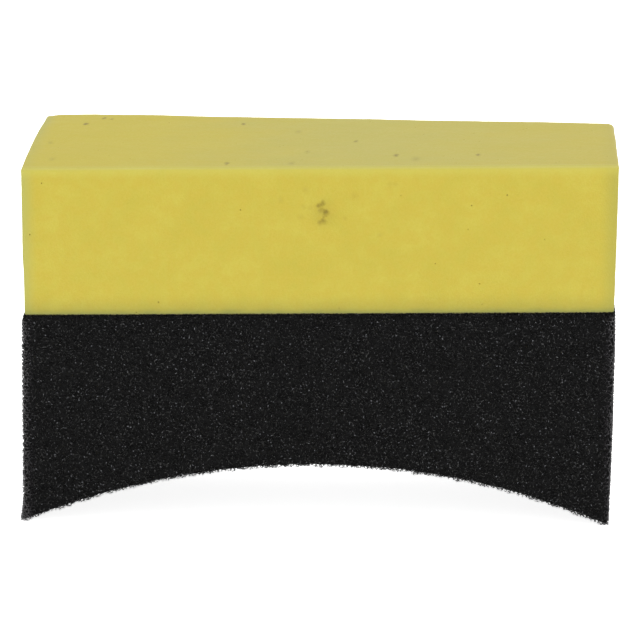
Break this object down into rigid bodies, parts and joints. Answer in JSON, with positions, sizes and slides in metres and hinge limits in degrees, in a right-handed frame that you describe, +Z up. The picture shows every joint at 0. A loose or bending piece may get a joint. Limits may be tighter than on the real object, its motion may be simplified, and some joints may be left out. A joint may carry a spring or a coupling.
{
  "type": "foam tyre dressing applicator",
  "caption": "Hand-held contoured foam applicator: a dense foam grip glued to a coarse open-cell foam pad with an arched face that fits round a tyre wall.",
  "frame": {"origin": "on the resting plane, under the middle of the block, with the block standing on the two tips of its arch", "axes": "+X along the block's length, +Y through its depth from front to back, +Z up from the arched pad to the grip"},
  "size_m": [0.152, 0.07, 0.093],
  "materials": {
    "dense_foam": "matte fine-cell polyurethane foam, yellow",
    "contact_adhesive": "dried rubbery contact adhesive, dull amber",
    "open_cell_foam": "coarse reticulated open-cell polyurethane foam, charcoal black with small glints"
  },
  "bodies": {
    "root": {"grip_block": "dense_foam", "adhesive_film": "contact_adhesive", "applicator_pad": "open_cell_foam"}
  },
  "joints": []
}
